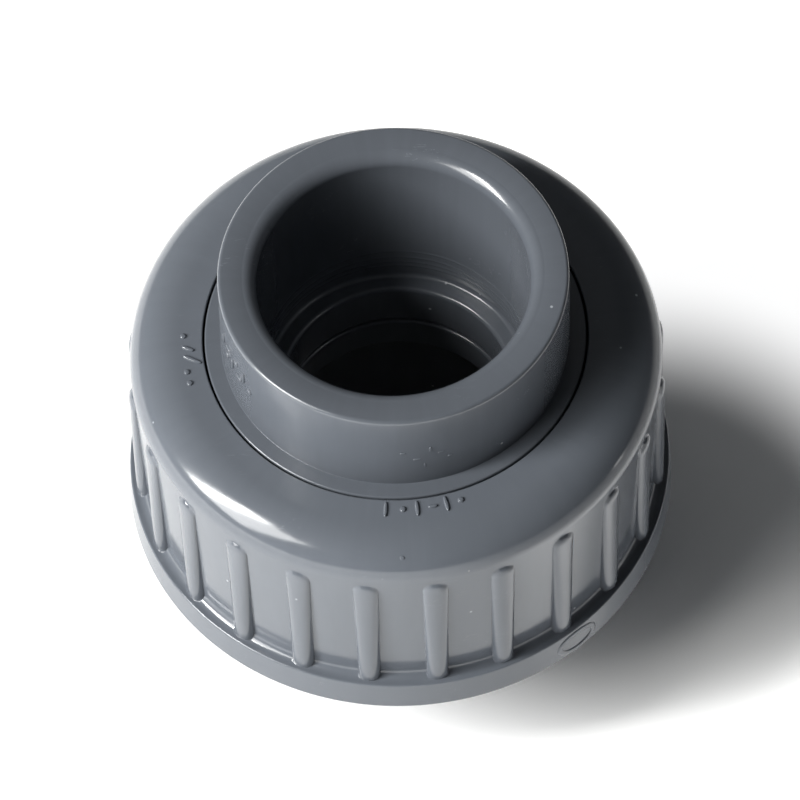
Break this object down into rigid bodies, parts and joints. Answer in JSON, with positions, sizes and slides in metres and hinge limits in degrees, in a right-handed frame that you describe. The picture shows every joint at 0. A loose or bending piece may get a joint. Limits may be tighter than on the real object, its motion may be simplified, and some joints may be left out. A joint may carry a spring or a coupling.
{
  "type": "pipe union",
  "caption": "Plastic pipe union: two pipe sockets drawn face to face by a ribbed nut that turns on a parallel pipe thread, with a rubber ring as the face seal.",
  "frame": {"origin": "centre of the lower socket's end face, which the union stands on", "axes": "+Z along the common axis of sockets, nut and thread, towards the end connector"},
  "size_m": [0.0514, 0.0514, 0.0485],
  "materials": {
    "body_pvc": "satin",
    "connector_pvc": "satin",
    "nut_pvc": "satin",
    "seal_rubber": "matt"
  },
  "bodies": {
    "threaded_body": {"threaded_body": "body_pvc", "o_ring": "seal_rubber"},
    "end_connector": {"end_connector": "connector_pvc"},
    "union_nut": {"union_nut": "nut_pvc"}
  },
  "joints": [
    {"name": "connector_lift", "type": "slide", "parent": "threaded_body", "child": "end_connector", "axis": [0, 0, 1], "range_m": [0, 0.0081]},
    {"name": "nut_turn", "type": "hinge", "parent": "end_connector", "child": "union_nut", "pos_m": [0, 0, 0], "axis": [0, 0, 1], "range_deg": [0, 1260]}
  ],
  "couplings": [
    {"joint": "connector_lift", "follows": "nut_turn", "m_per_rad": 0.00036749}
  ]
}
